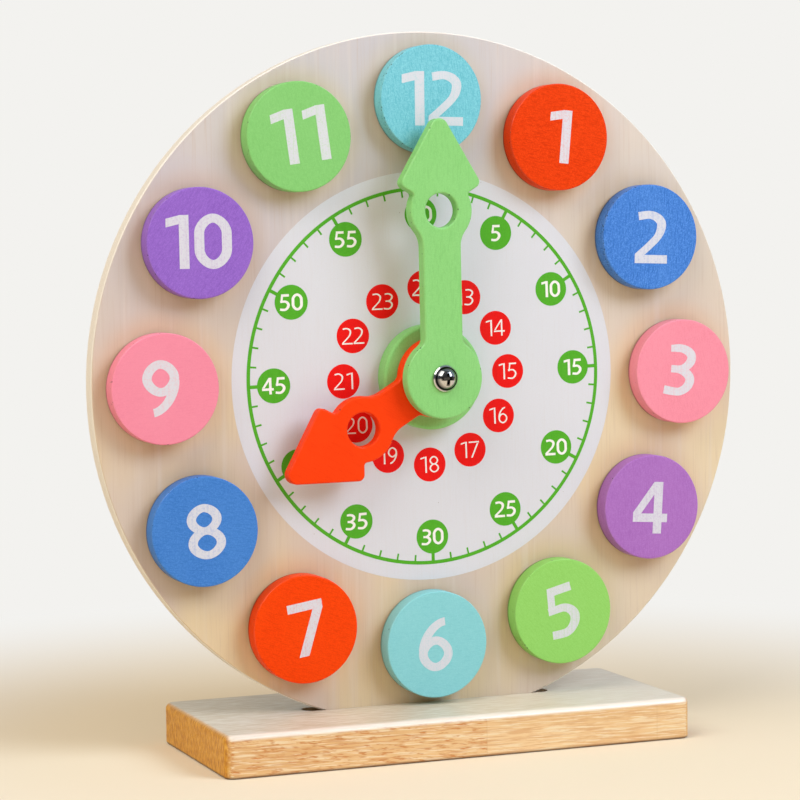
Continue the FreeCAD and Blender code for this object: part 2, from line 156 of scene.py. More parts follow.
def stretched_noise(tree, grain, detail=2.0, rough=0.55, offset=(0.0, 0.0, 0.0), slant=0.0):
    """Noise on Object coordinates whose features measure grain = (x, y, z) millimetres.

    slant turns the grain about the y axis, in degrees."""
    place = object_place(tree)
    if slant:
        place = add_node(tree, "ShaderNodeVectorRotate", {
            "Vector": place, "Angle": math.radians(slant)}, rotation_type="Y_AXIS").outputs[0]
    scaled = add_node(tree, "ShaderNodeMapping", {
        "Vector": place, "Location": offset, "Scale": tuple(1 / (g * MM) for g in grain)})
    noise = add_node(tree, "ShaderNodeTexNoise", {
        "Vector": scaled.outputs[0], "Scale": 1.0, "Detail": detail, "Roughness": rough})
    return noise.outputs["Fac"]


def ramp(value, stops):
    """A colour ramp with stops of (position, hex colour)."""
    made = add_node(value.id_data, "ShaderNodeValToRGB", {"Fac": value})
    elements = made.color_ramp.elements
    while len(elements) < len(stops):
        elements.new(0.5)
    for element, (position, code) in zip(elements, stops):
        element.position, element.color = position, linear(code)
    return made.outputs["Color"]


def remap(value, from_low, from_high, to_low=0.0, to_high=1.0):
    """A smooth step from one range of values to another."""
    return add_node(value.id_data, "ShaderNodeMapRange", {
        "Value": value, 1: from_low, 2: from_high, 3: to_low, 4: to_high},
        interpolation_type="SMOOTHSTEP").outputs[0]


def calc(operation, first, second=0.0, third=0.0):
    """One step of arithmetic on numbers and sockets, in the tree of its first socket."""
    tree = next(value.id_data for value in (first, second) if isinstance(value, bpy.types.NodeSocket))
    return add_node(tree, "ShaderNodeMath", {0: first, 1: second, 2: third}, operation=operation).outputs[0]


def times(first, second):
    return calc("MULTIPLY", first, second)


def band(value, edges, most=1.0):
    """A band of a length in metres. edges are where it starts, is full, fades and ends, in mm."""
    start, full, fade, end = (edge * MM for edge in edges)
    return times(remap(value, start, full, 0.0, most), remap(value, fade, end, 1.0, 0.0))


def tint(share, under, over):
    """Mixes the colour over into the colour under, by share."""
    return add_node(share.id_data, "ShaderNodeMix", {0: share, 6: under, 7: over},
                    data_type="RGBA").outputs[2]


def object_axes(tree):
    """The x, y and z of the Object coordinates."""
    return add_node(tree, "ShaderNodeSeparateXYZ", {0: object_place(tree)}).outputs


def from_axis(tree, x, z):
    """How far a point is from the line along y through (x, z)."""
    offset = add_node(tree, "ShaderNodeVectorMath", {0: object_place(tree), 1: (x, 0.0, z)},
                      operation="SUBTRACT").outputs[0]
    flat = add_node(tree, "ShaderNodeVectorMath", {0: offset, 1: (1.0, 0.0, 1.0)},
                    operation="MULTIPLY").outputs[0]
    return add_node(tree, "ShaderNodeVectorMath", {0: flat}, operation="LENGTH").outputs["Value"]


def relief(shader, height, depth):
    """Raises the surface by up to depth millimetres where height is 1, for the light only."""
    bump = add_node(shader.id_data, "ShaderNodeBump", {
        "Height": height, "Strength": 1.0, "Distance": depth * MM})
    feed(shader, {"Normal": bump.outputs[0]})


print("mid grey:", [round(c, 3) for c in linear("#808080")])

# %% [markdown]
# ## Satin toy paint
# The discs, the hands and the hub spacer are beech, sprayed with water-based satin paint. Such
# paint dries with a fine speckle, lets a hint of the wood's fibres show, and leaves a few open
# pores along the edges, where the end grain drinks it. One flat colour would look like plastic, so
# the shader has them all, with fibres that run their own way on each disc. A painted contact shadow
# darkens the foot of the side, and only the front edge, burnished by fingers, catches the lamps as a
# thin bright line.

# %% Satin paint on wood
# Millimetres. Speckle and pits are twice their real size, or they would vanish in a small picture.
SPECKLE = 0.46
PIT_SPACING, PIT_RADIUS = 1.15, 0.24
PIT_BAND = (0.02, 0.12, 1.2, 3.0)        # behind the front face
BURNISHED_BAND = (0.02, 0.08, 0.45, 0.75)
# Where the painted contact shadow at the foot of a disc's side, next to the board, starts and is full.
CONTACT_SHADE_START, CONTACT_SHADE_FULL = 2.0, 0.9         # before the back face


def toy_paint(name, main, deep, light, front, slant=0.0, grain=0.4, pitted=0.3, back=None, rubbed=0.9):
    """Satin paint on beech. front and back are the y of the piece's faces, in metres.

    slant turns the wood's fibres from upright, in degrees. grain is how rough the paint looks,
    pitted is the share of open pores behind the front edge, and rubbed is how burnished that edge
    is. A painted contact shadow darkens the last of the side where back is given."""
    made, tree, shader = new_material(name)
    speckle = stretched_noise(tree, (SPECKLE,) * 3, rough=0.7)
    fibres = stretched_noise(tree, (0.45, 0.8, 3.6), rough=0.6, slant=slant)
    cloud = stretched_noise(tree, (16.0, 16.0, 26.0), detail=1.0)
    colour = tint(remap(speckle, 0.48, 0.36, 0.0, 0.75 * grain), main, deep)
    colour = tint(remap(speckle, 0.52, 0.64, 0.0, 0.75 * grain), colour, light)
    colour = tint(remap(fibres, 0.50, 0.64, 0.0, 0.9 * grain), colour, deep)
    colour = tint(remap(cloud, 0.40, 0.75, 0.0, 0.20), colour, light)

    cells = add_node(tree, "ShaderNodeTexVoronoi", {
        "Vector": object_place(tree), "Scale": 1 / (PIT_SPACING * MM)}).outputs
    near_pore = remap(cells["Distance"], PIT_RADIUS / PIT_SPACING, 1.5 * PIT_RADIUS / PIT_SPACING, 1.0, 0.0)
    lot = add_node(tree, "ShaderNodeSeparateColor", {0: cells["Color"]}).outputs[0]
    chosen = remap(lot, pitted, pitted + 0.02, 1.0, 0.0)
    depth = calc("SUBTRACT", object_axes(tree)[1], front)
    pits = times(times(near_pore, chosen), band(depth, PIT_BAND))
    colour = tint(times(pits, 0.85), colour, "#1d2a22")
    if back:
        # Painted contact shadow: the last of the side, next to the board, is darkened.
        dust_and_contact_shade = remap(depth, back - front - CONTACT_SHADE_START * MM, back - front - CONTACT_SHADE_FULL * MM, 0.0, 0.5)
        colour = tint(dust_and_contact_shade, colour, "#2a241c")
    burnished = times(band(depth, BURNISHED_BAND), remap(speckle, 0.40, 0.60, 0.3 * rubbed, rubbed))
    feed(shader, {
        "Base Color": colour, "Roughness": remap(speckle, 0.3, 0.7, 0.30, 0.40),
        "IOR": 1.47, "Specular IOR Level": 0.05,    # dry acrylic binder, satin
        "Coat Weight": burnished, "Coat Roughness": 0.22})
    height = calc("ADD", times(speckle, 0.6), times(fibres, 0.5))
    relief(shader, calc("SUBTRACT", height, times(pits, 2.0)), 0.014)
    return made


print("paint speckle:", SPECKLE, "mm")

# %% Colours of the painted pieces
# main, deep (fibres and speckle) and light (cloud and speckle) of each pot of paint. Discs 7 to 12
# take the second shade of their pot, a little off the first; the bluer purple of disc 10, high on
# the left, is painted cool light from the left.
PAINT_POTS = {
    "orange": [("#e23e0d", "#cd3307", "#ef4e17"), ("#f14309", "#dd3805", "#f8510f")],
    "blue": [("#4a80d0", "#366cbb", "#6197e0"), ("#447dca", "#336db8", "#5791d8")],
    "pink": [("#ee8ea0", "#e58194", "#f39aab"), ("#ec8aa0", "#e58097", "#f196aa")],
    "purple": [("#a86fbb", "#9d63b1", "#b37dc5"), ("#9165c4", "#845ab8", "#a074d0")],
    "green": [("#92cf68", "#86c55c", "#9dd877"), ("#84c572", "#79bc67", "#90cf80")],
    "cyan": [("#88ccd1", "#7ac2c8", "#96d6da"), ("#78c4d2", "#62b4c4", "#90d4de")],
}
# hour: how far the fibres turn from upright, in degrees, how rough the paint looks over them,
# and how pitted the edge is
DISC_GRAIN = {
    1: (78, 0.8, 0.1), 2: (-8, 0.9, 0.8), 3: (12, 0.5, 0.1), 4: (5, 0.7, 0.1), 5: (40, 0.4, 0.15),
    6: (85, 0.45, 0.15), 7: (70, 0.6, 0.1), 8: (80, 0.55, 0.15), 9: (90, 0.35, 0.2), 10: (-35, 0.8, 0.1),
    11: (15, 0.5, 0.3), 12: (10, 0.85, 0.85),
}
HAND_GREEN = ("#8acb79", "#7abb68", "#98d689")
HAND_ORANGE = ("#f3400f", "#e9380a", "#f74915")

disc_low, disc_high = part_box("number_disc_12")
DISC_FRONT, DISC_BACK = disc_low.y, disc_high.y
DISC_CIRCLE = (disc_low.z + disc_high.z) / 2 - AXLE_Z
disc_pot = {hour: list(PAINT_POTS)[(hour - 1) % 6] for hour in DISC_GRAIN}
disc_paint = {}
for hour, (slant, grain, pitted) in DISC_GRAIN.items():
    pot = disc_pot[hour]
    disc_paint[hour] = toy_paint(
        f"satin_toy_paint_on_beech_{pot}_{hour}", *PAINT_POTS[pot][(hour - 1) // 6],
        DISC_FRONT, slant, grain, pitted, DISC_BACK)
FAR_OFF = 1.0       # m; a front this far off leaves the spacer's edges plain
minute_front, hour_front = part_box("minute_hand")[0].y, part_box("hour_hand")[0].y
minute_paint = toy_paint("satin_toy_paint_minute_hand", *HAND_GREEN, minute_front, pitted=0.16)
hour_paint = toy_paint("satin_toy_paint_hour_hand", *HAND_ORANGE, hour_front, slant=60, pitted=0.06,
                       rubbed=0.3)
spacer_paint = toy_paint("satin_toy_paint_hub_spacer", *HAND_GREEN, FAR_OFF)
print("paints:", len(disc_paint) + 3)

# %% [markdown]
# ## Bare wood
# The board is birch plywood: a pale face veneer with fine vertical fibres and slow blushes of
# cream and pink, and a sanded rim on which the glue lines show. Painted light is mixed into its
# colour: cooler towards the top, warmer to the right, and a warm painted shade round the discs. The
# foot is rubberwood, glued up from short staves with finger joints, so each block has its own tone,
# and short orange-brown pores run along it. Its paler top is a painted sheen, with a painted
# highlight along the front edge, its golden end grain holds some painted warm light, and its lower
# edge is darkened as a painted contact shadow. Both use solid noise, stretched along the grain, so
# that the ends and sides agree with the faces, as they do in real wood.

# %% Birch plywood board
# The first three colours are painted light: cool light towards the top, warm light to the right and a warm
# shade round the discs. The last is the back's plain veneer.
COOL_TOP_LIGHT, WARM_RIGHT_LIGHT, PAINTED_WARM_SHADE, PLAIN_VENEER = "#c6c1c6", "#ead8b6", "#d9b681", "#d1beab"
# Where the painted warm shade round a disc is full and where it ends:
WARM_SHADE_FULL, WARM_SHADE_END = 18.0, 29.0    # mm from a disc's middle
RIM_START, RIM_FULL = 0.40, 0.25    # mm inside the edge
PLY = 1.4                # mm
GLUE_LINE = -0.05        # m; a y far in front that a glue line would fall on


def birch_plywood():
    made, tree, shader = new_material("birch_plywood_sanded_clear_sealed")
    fibres = stretched_noise(tree, (0.55, 3.0, 26.0), detail=4.0, rough=0.62)
    streaks = stretched_noise(tree, (3.2, 9.0, 95.0), detail=3.0, rough=0.5)
    blush = stretched_noise(tree, (46.0, 20.0, 80.0), rough=0.5, offset=(4.1, 0.0, 2.3))
    colour = ramp(blush, [(0.36, "#c9b7ad"), (0.50, "#d1beab"), (0.64, "#dcc6a0")])
    x, y, z = object_axes(tree)
    # Painted light: the veneer is cooler towards the top and warmer to the right.
    height = remap(z, BOARD_Z - 0.4 * BOARD_RADIUS, BOARD_Z + BOARD_RADIUS, 0.0, 0.8)
    colour = tint(height, colour, COOL_TOP_LIGHT)
    colour = tint(remap(x, 0.0, BOARD_RADIUS, 0.0, 0.4), colour, WARM_RIGHT_LIGHT)

    # Folding the angle by twelve turns the distance to any disc into the distance to the first one.
    up = calc("SUBTRACT", z, AXLE_Z)
    turn = calc("PINGPONG", calc("ARCTAN2", x, up), math.pi / 12)
    out = from_axis(tree, AXLE_X, AXLE_Z)
    along = calc("SUBTRACT", times(out, calc("COSINE", turn)), DISC_CIRCLE)
    aside = times(out, calc("SINE", turn))
    near = calc("SQRT", calc("ADD", times(along, along), times(aside, aside)))
    # A warm painted shade round each disc, where the discs' shadows fall on the board.
    warm_shade_round_discs = remap(near, WARM_SHADE_FULL * MM, WARM_SHADE_END * MM, 0.46, 0.0)
    colour = tint(warm_shade_round_discs, colour, PAINTED_WARM_SHADE)
    colour = tint(remap(y, 0.0, 3.0 * MM, 0.0, 0.7), colour, PLAIN_VENEER)   # the back
    colour = tint(remap(fibres, 0.50, 0.78, 0.0, 0.35), colour, "#bfa38c")
    colour = tint(remap(streaks, 0.50, 0.72, 0.0, 0.30), colour, "#ddd0c6")

    rim = remap(from_axis(tree, 0.0, BOARD_Z), BOARD_RADIUS - RIM_START * MM, BOARD_RADIUS - RIM_FULL * MM)
    off_line = calc("PINGPONG", calc("SUBTRACT", y, GLUE_LINE), PLY / 2 * MM)
    glue = remap(off_line, 0.0, 0.12 * MM, 0.5, 0.0)
    colour = tint(rim, colour, tint(glue, "#eae3d8", "#b99a74"))
    feed(shader, {
        "Base Color": colour, "Roughness": remap(fibres, 0.3, 0.7, 0.52, 0.68),
        "IOR": 1.5, "Specular IOR Level": 0.35})
    relief(shader, fibres, 0.05)
    return made


board_wood = birch_plywood()
print("made", board_wood.name)

# %% Finger jointed rubberwood foot
# Millimetres. A joint of the front stave is at x = FIRST_JOINT.
STAVE_WIDTH, BLOCK_LENGTH, FIRST_JOINT, STAVE_SHIFT = 25.0, 67.4, 7.8, 37.0
FINGER_LENGTH, FINGER_PITCH = 9.0, 4.0
LONG_BLOCK = -0.9        # in block lengths; left of here the front stave is all one block
STAVE_STEP = 13.0        # more than the blocks of a stave, so each block has its own number
BLOCK_SEED = 12.5        # gives the long block in front the strongest pores
TOP_START, TOP_FULL = 2.3, 0.9       # mm under the top
END_START, END_FULL = 2.2, 0.1       # mm before an end


def rubberwood():
    made, tree, shader = new_material("finger_jointed_rubberwood_lacquered")
    x, y, z = object_axes(tree)
    stave = calc("SUBTRACT", y, base_low.y - 0.02 * MM)
    stave = calc("FLOOR", calc("DIVIDE", stave, STAVE_WIDTH * MM))
    finger = calc("PINGPONG", calc("SUBTRACT", y, base_low.y), FINGER_PITCH / 2 * MM)
    finger = times(finger, 2 * FINGER_LENGTH / FINGER_PITCH)
    along = calc("SUBTRACT", calc("ADD", x, finger), FIRST_JOINT * MM)
    along = calc("ADD", along, times(stave, STAVE_SHIFT * MM))
    along = calc("MAXIMUM", calc("DIVIDE", along, BLOCK_LENGTH * MM), LONG_BLOCK)
    number = calc("ADD", calc("FLOOR", along), times(stave, STAVE_STEP))
    tone = add_node(tree, "ShaderNodeTexWhiteNoise", {1: calc("ADD", number, BLOCK_SEED)},
                    noise_dimensions="1D").outputs["Value"]

    waves = stretched_noise(tree, (60.0, 10.0, 7.0), rough=0.5)
    pale = stretched_noise(tree, (10.0, 0.9, 0.48), rough=0.5, slant=-2.0)
    rays = stretched_noise(tree, (14.0, 1.3, 0.62), detail=3.0, offset=(3.0, 0.0, 7.0))
    pores = stretched_noise(tree, (4.4, 0.9, 0.72), rough=0.6, slant=-4.0)
    colour = ramp(waves, [(0.36, "#ddae74"), (0.52, "#e4ba82"), (0.68, "#ebc692")])
    colour = tint(remap(pale, 0.50, 0.62, 0.0, 0.7), colour, "#f1deba")
    colour = tint(remap(rays, 0.51, 0.62, 0.0, 0.65), colour, "#cc8d50")
    pore_share = times(remap(pores, 0.51, 0.71), remap(tone, 0.2, 0.8, 0.30, 1.0))
    colour = tint(pore_share, colour, "#cb8440")
    colour = tint(remap(tone, 0.1, 0.8, 0.18, 0.0), colour, "#f0d5a9")
    edge = calc("PINGPONG", calc("ADD", along, 50.0), 0.5)
    colour = tint(remap(edge, 0.0, 0.35 / BLOCK_LENGTH, 0.16, 0.0), colour, "#b98a58")   # the seams

    # Painted sheen: the upper side is paler, the more so to the right, and a painted highlight runs
    # along the front edge.
    top = remap(z, base_high.z - TOP_START * MM, base_high.z - TOP_FULL * MM, 0.0, 0.88)
    edge_highlight = remap(y, base_low.y + 1.0 * MM, base_low.y + 4.5 * MM, 0.6, 0.0)
    top_wood_and_sheen = ramp(pale, [(0.40, "#ccbfa6"), (0.60, "#ded6c6")])
    top_wood_and_sheen = tint(remap(x, -20 * MM, 80 * MM, 0.0, 0.6), top_wood_and_sheen, "#f2e9dc")
    top_wood_and_sheen = tint(edge_highlight, top_wood_and_sheen, "#f4ede4")
    colour = tint(top, colour, top_wood_and_sheen)
    end = remap(calc("ABSOLUTE", x), base_high.x - END_START * MM, base_high.x - END_FULL * MM)
    end_grain = stretched_noise(tree, (4.0, 0.9, 2.4), detail=3.0, rough=0.6)
    # End grain is darker and more golden than the sides, and part of that golden tone is painted warm light.
    end_wood_and_warm_light = ramp(end_grain, [(0.35, "#b8730c"), (0.52, "#d49318"), (0.70, "#e6b04a")])
    colour = tint(end, colour, end_wood_and_warm_light)
    # Painted contact shadow darkens the lower edge, and end grain drinks the lacquer.
    colour = tint(remap(z, 0.2 * MM, 1.3 * MM, 0.85, 0.0), colour, "#6b4522")
    lacquer = remap(end, 0.0, 1.0, 0.4, 0.05)
    feed(shader, {
        "Base Color": colour, "Roughness": remap(pores, 0.35, 0.75, 0.40, 0.55), "IOR": 1.5,
        "Coat Weight": lacquer, "Coat Roughness": 0.22})
    relief(shader, calc("SUBTRACT", 1.0, pore_share), 0.06)
    return made


foot_wood = rubberwood()
print("made", foot_wood.name)

# %% Beech dowel pegs
def beech_dowel():
    """Bare sawn beech: pale rings, fine dark fibres and no shine."""
    made, tree, shader = new_material("beech_dowel_sawn")
    rings = stretched_noise(tree, (1.6, 30.0, 1.6), detail=3.0)
    fine = stretched_noise(tree, (0.5, 12.0, 0.5))
    colour = ramp(rings, [(0.35, "#cda878"), (0.65, "#e6cda4")])
    colour = tint(remap(fine, 0.55, 0.75, 0.0, 0.5), colour, "#a97f52")
    feed(shader, {"Base Color": colour, "Roughness": remap(fine, 0.3, 0.7, 0.6, 0.8)})
    relief(shader, fine, 0.05)
    return made


peg_wood = beech_dowel()
print("made", peg_wood.name)

# %% [markdown]
# ## Metal and ink
# The screw, washer and nut are steel with a bright nickel plate. A metal's base colour is that of
# its reflection, here a light, slightly warm grey, and fine noise in the roughness keeps it from
# looking like a mirror. Painted shade darkens the groove round the dome and the cross recess, and a
# painted dark reflection lies on the dome's rim. The inks are thin and slightly uneven, so the
# fibres and the paint under them show through a little.

# %% Nickel plated steel
# Millimetres from the axle.
GROOVE_RADIUS = 3.90         # the middle of the groove between the head's flange and its dome
GROOVE_FULL, GROOVE_END = 0.25, 0.55     # from the groove's middle
# Where the painted dark reflection round the dome's rim starts, is full, fades and ends:
DOME_RIM = (2.5, 3.5, 4.2, 4.3)
RECESS_REACH = (2.4, 2.7)    # just past the ends of the cross recess's arms
RECESS_HALF = (0.5, 0.8)     # just past half the width of an arm


def nickel_plate():
    made, tree, shader = new_material("nickel_plated_steel_cold_headed")
    cast = stretched_noise(tree, (0.5,) * 3)
    colour = ramp(cast, [(0.3, "#c4c2c0"), (0.7, "#dedcda")])
    radius = from_axis(tree, AXLE_X, AXLE_Z)
    x, _, z = object_axes(tree)
    off_groove, off_x, off_z = (
        calc("ABSOLUTE", calc("SUBTRACT", value, middle))
        for value, middle in ((radius, GROOVE_RADIUS * MM), (x, AXLE_X), (z, AXLE_Z)))
    # Painted shade in the groove round the dome and in the cross recess, and a painted dark reflection round
    # the dome's rim.
    groove = remap(off_groove, GROOVE_FULL * MM, GROOVE_END * MM, 1.0, 0.0)
    arms = remap(calc("MINIMUM", off_x, off_z), RECESS_HALF[0] * MM, RECESS_HALF[1] * MM, 0.82, 0.0)
    recess = times(arms, remap(radius, RECESS_REACH[0] * MM, RECESS_REACH[1] * MM, 1.0, 0.0))
    painted_shade_and_reflection = calc("MAXIMUM", calc("MAXIMUM", groove, band(radius, DOME_RIM, 0.7)), recess)
    feed(shader, {
        "Base Color": tint(painted_shade_and_reflection, colour, "#232226"), "Metallic": 1.0,
        "Roughness": remap(cast, 0.3, 0.7, 0.08, 0.16)})
    relief(shader, cast, 0.004)
    return made


screw_plate = nickel_plate()
print("made", screw_plate.name)

# %% Screen printing ink
SPECK_SPACING = 11       # mm between the specks of dust in the white ground


def printing_ink(name, main, ghost, ghost_share, specks=False, through=0.0):
    """Screen printed ink: the fibres under it show as a ghost tint.

    through is how much of the ghost's colour shows all over, where the ink is thin."""
    made, tree, shader = new_material(name)
    fibres = stretched_noise(tree, (0.6, 3.0, 18.0), detail=3.0, rough=0.6)
    mottle = stretched_noise(tree, (0.5,) * 3, rough=0.6)
    share = remap(fibres, 0.48, 0.75, 0.0, ghost_share)
    thin = [m + (g - m) * through for m, g in zip(linear(main), linear(ghost))]
    colour = tint(share, thin, ghost)
    colour = tint(remap(mottle, 0.48, 0.68, 0.0, ghost_share), colour, ghost)
    if specks:
        dust_and_contact_shade = add_node(tree, "ShaderNodeTexVoronoi", {
            "Vector": object_place(tree), "Scale": 1 / (SPECK_SPACING * MM)})
        near = remap(dust_and_contact_shade.outputs["Distance"], 0.012, 0.022, 0.5, 0.0)
        colour = tint(near, colour, "#8d7a6a")
    feed(shader, {
        "Base Color": colour, "Roughness": remap(mottle, 0.3, 0.7, 0.45, 0.6),
        "IOR": 1.48, "Specular IOR Level": 0.15})
    relief(shader, fibres, 0.02)
    return made


dial_white = printing_ink("screen_ink_dial_white", "#d6d6dc", "#d0cac8", 0.20, specks=True)
dial_green = printing_ink("screen_ink_green", "#53aa27", "#459a1f", 0.45)
dial_red = printing_ink("screen_ink_red", "#ea100a", "#d80b07", 0.45)
badge_white = printing_ink("screen_ink_badge_white", "#f2eee9", "#dfd8cc", 0.3)
numeral_white = {
    pot: printing_ink(f"screen_ink_numeral_white_over_{pot}", "#d5d5dd", shades[0][0], 0.24, through=0.03)
    for pot, shades in PAINT_POTS.items()}
print("inks:", 4 + len(numeral_white))

# %% [markdown]
# ## Dress the CAD pieces
# The board, foot, spacer, hands, screw, washer, nut and pegs already have their true shapes in the
# CAD model, so they only get their materials. Replacing them would risk a fit that no longer moves.

# %% Materials on the CAD nodes
cad_finish = {
    "board": board_wood, "base": foot_wood, "hub_spacer": spacer_paint,
    "axle_screw": screw_plate, "back_washer": screw_plate, "lock_nut": screw_plate,
    "minute_hand": minute_paint, "hour_hand": hour_paint}
cad_finish.update({f"disc_peg_{hour}": peg_wood for hour in disc_paint})
for name, finish in cad_finish.items():
    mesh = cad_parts[name].data
    mesh.materials.clear()
    mesh.materials.append(finish)
print("CAD nodes dressed:", len(cad_finish))

# %% [markdown]
# ## Helpers for meshes
# Every new piece has its object at the origin and its place in its mesh, as the CAD nodes do.

# %% Mesh helpers
def new_piece(name, vertices, faces, finish, body):
    """A mesh object in place, with one material, that rides on a CAD body."""
    mesh = bpy.data.meshes.new(name)
    mesh.from_pydata(vertices, [], faces)
    mesh.validate()
    shell = bmesh.new()
    shell.from_mesh(mesh)
    bmesh.ops.recalc_face_normals(shell, faces=shell.faces)
    shell.to_mesh(mesh)
    shell.free()
    mesh.materials.append(finish)
    piece = put_in_scene(name, mesh)
    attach(piece, body)
    return piece


def turned(profile, centre, segments, closed=False):
    """Vertices and faces of a shape turned about the line along Y through centre = (x, z).

    profile lists (radius, y) points, and a radius of 0 makes a pole. closed joins the last point
    to the first, for a ring."""
    vertices, faces, rings = [], [], []
    for radius, y in profile:
        if radius == 0:
            rings.append([len(vertices)] * segments)
            vertices.append((centre[0], y, centre[1]))
            continue
        rings.append(list(range(len(vertices), len(vertices) + segments)))
        for k in range(segments):
            turn = 2 * math.pi * k / segments
            vertices.append((centre[0] + radius * math.sin(turn), y, centre[1] + radius * math.cos(turn)))
    for ring, following in zip(rings, rings[1:] + rings[:1] * closed):
        faces += [list(dict.fromkeys((ring[k], ring[k - 1], following[k - 1], following[k])))
                  for k in range(segments)]
    return vertices, faces


print("mesh helpers ready")

# %% [markdown]
# ## The twelve number discs
# Each disc is turned: a flat face, a flat back and a softly rounded edge. A cylinder with a Bevel
# modifier would do, but in a turned profile the round is an exact quarter circle, and a narrow flat
# ring beside it keeps the faces flat when they are shaded smooth.

# %% Turned discs
DISC_EDGE, BACK_EDGE = 0.45 * MM, 0.8 * MM
GUARD = 1.6          # where the flat ring starts, in radii of the round beside it
DISC_SEGMENTS = 128


def disc_profile(radius, back, front):
    """Half the section of a disc with quarter-round edges, from the back's pole to the front's."""
    turns = [math.radians(15 * step) for step in range(7)]
    return [(0, back), (radius - GUARD * BACK_EDGE, back)] + [
        (radius - BACK_EDGE * (1 - math.sin(turn)), back - BACK_EDGE * (1 - math.cos(turn)))
        for turn in turns] + [
        (radius - DISC_EDGE * (1 - math.cos(turn)), front + DISC_EDGE * (1 - math.sin(turn)))
        for turn in turns] + [(radius - GUARD * DISC_EDGE, front), (0, front)]


disc_centre = {}
for hour, pot in disc_pot.items():
    low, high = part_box(f"number_disc_{hour}")
    disc_centre[hour] = ((low.x + high.x) / 2, (low.z + high.z) / 2)
    profile = disc_profile((high.x - low.x) / 2, high.y, low.y)
    disc = new_piece(f"turned_disc_{hour}", *turned(profile, disc_centre[hour], DISC_SEGMENTS),
                     disc_paint[hour], f"number_{hour}")
    disc.data.shade_smooth()
    disc.data.set_sharp_from_angle(angle=math.radians(35))
    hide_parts(f"number_disc_{hour}")
print("discs turned:", len(disc_centre))

# %% [markdown]
# ## Drawing numerals
# The numerals are a humanist sans: stems a fifth of the height, slightly thinner horizontals, flat
# cut ends. No font file is used: each is drawn as strokes on a grid where the cap height is 100. A
# bar is a parallelogram given by its centre line and its cut. A curve goes through points that each
# have a heading and a width, and a ring is a closed curve. The strokes overlap, so a constrained
# Delaunay triangulation keeps every triangle that any of their small quads covers, and that flat
# shape is given a thickness.

# %% Strokes of the ten numerals
# numeral: its width, the gaps before and after it, and its strokes, which are
# bar: (x, y), (x, y), (cut x, cut y);  curve: (x, y, heading in degrees, width), ...;
# ring: centre x and y, half width, half height, side, top and bottom width, fullness, and half the
#       length of the straight part of its sides
NUMERALS = {
    "0": (73, 5, 5, [("ring", 36.9, 50, 26.9, 43.2, 19.5, 16.8, 16.8, 0.58, 15)]),
    "1": (45, 12, 5, [
        ("bar", (35.5, 0), (35.5, 100), (19, 0)), ("bar", (0.5, 85.5), (28, 91.8), (0, 16.2))]),
    "2": (69, 3, 3, [
        ("curve", (7.8, 90.2, 7, 15.5), (30, 93, 0, 15), (57, 74, -90, 19), (42.6, 44.4, -137, 14.5),
         (4.3, 12.3, -141.5, 14)),
        ("bar", (0, 8.5), (69, 7.6), (0, 16))]),
    "3": (66, 4, 5, [
        ("curve", (11.2, 90, 3, 13.5), (30, 91.3, 0, 15.4), (57, 74, -90, 19), (30, 50.7, 180, 14.2),
         (14.3, 50.7, 180, 14.2)),
        ("curve", (24, 50.7, 0, 14.2), (56.3, 30.5, -90, 19.3), (30, 7, 180, 15.4), (1.3, 10, 172, 16))]),
    "4": (74.5, 2, 3, [
        ("bar", (53.8, 0), (53.8, 100), (18.1, 0)), ("bar", (0.9, 30.4), (74.5, 30.4), (0, 16.4)),
        ("bar", (53, 100), (8.9, 38.6), (18.4, 0))]),
    "5": (65, 8, 5, [
        ("bar", (11, 91.7), (60.5, 91.7), (0, 16.6)), ("bar", (18.7, 100), (10.3, 48.6), (15, 0)),
        ("curve", (4, 55.6, 4, 14), (32, 56, 0, 15), (55.5, 34.3, -90, 19.5), (28, 7.2, 180, 16),
         (1, 9.8, 172, 15.5))]),
    "6": (69, 5, 5, [
        ("ring", 35, 32.3, 25.5, 25.1, 17.5, 15.5, 15.5, 0.57, 0),
        ("curve", (52, 93.4, 188, 15), (9.5, 38, 270, 18))]),
    "7": (68.4, 4, 3, [
        ("bar", (0, 91.9), (68.4, 91.9), (0, 16.2)), ("bar", (58.5, 84), (18.3, 0), (19.6, 0))]),
    "8": (71, 5, 5, [
        ("ring", 33.7, 72.1, 24.2, 20.9, 17.5, 14.5, 13.8, 0.57, 0),
        ("ring", 35.2, 29, 26.8, 22.2, 17.5, 13.8, 14.6, 0.57, 0)]),
}
CAP = 100.0
STEPS = 12           # quads along one piece of curve
LEVEL_STROKE = 16.4  # width of a level stroke at full weight


def turn_half(stroke, x, y):
    """A stroke turned half round about (x, y), for the 9, which is the 6 upside down."""
    if stroke[0] == "ring":
        return ("ring", 2 * x - stroke[1], 2 * y - stroke[2]) + stroke[3:]
    return ("curve",) + tuple((2 * x - px, 2 * y - py, head + 180, wide) for px, py, head, wide in stroke[1:])


NUMERALS["9"] = (69, 5, 5, [turn_half(stroke, 34.5, 50) for stroke in NUMERALS["6"][3]])


def arc_points(start, end, fullness):
    """Centre line from one (x, y, heading, width) to the next, with the width at each step."""
    p, q = Vector(start[:2]), Vector(end[:2])
    u, v = (Vector((math.cos(turn), math.sin(turn))) for turn in map(math.radians, (start[2], end[2])))
    cross = u.x * v.y - u.y * v.x
    gap = q - p
    reach_p = reach_q = gap.length / 3
    if abs(cross) > 0.15:
        first, second = (gap.x * v.y - gap.y * v.x) / cross, (u.x * gap.y - u.y * gap.x) / -cross
        if first > 0 and second > 0:
            reach_p, reach_q = fullness * first, fullness * second
    a, b = p + u * reach_p, q - v * reach_q
    line = []
    for k in range(STEPS + 1):
        t = k / STEPS
        s = 1 - t
        point = p * s**3 + a * (3 * s * s * t) + b * (3 * s * t * t) + q * t**3
        slope = (a - p) * (3 * s * s) + (b - a) * (6 * s * t) + (q - b) * (3 * t * t)
        ease = t * t * (3 - 2 * t)
        line.append((point, slope.normalized(), start[3] + (end[3] - start[3]) * ease))
    return line


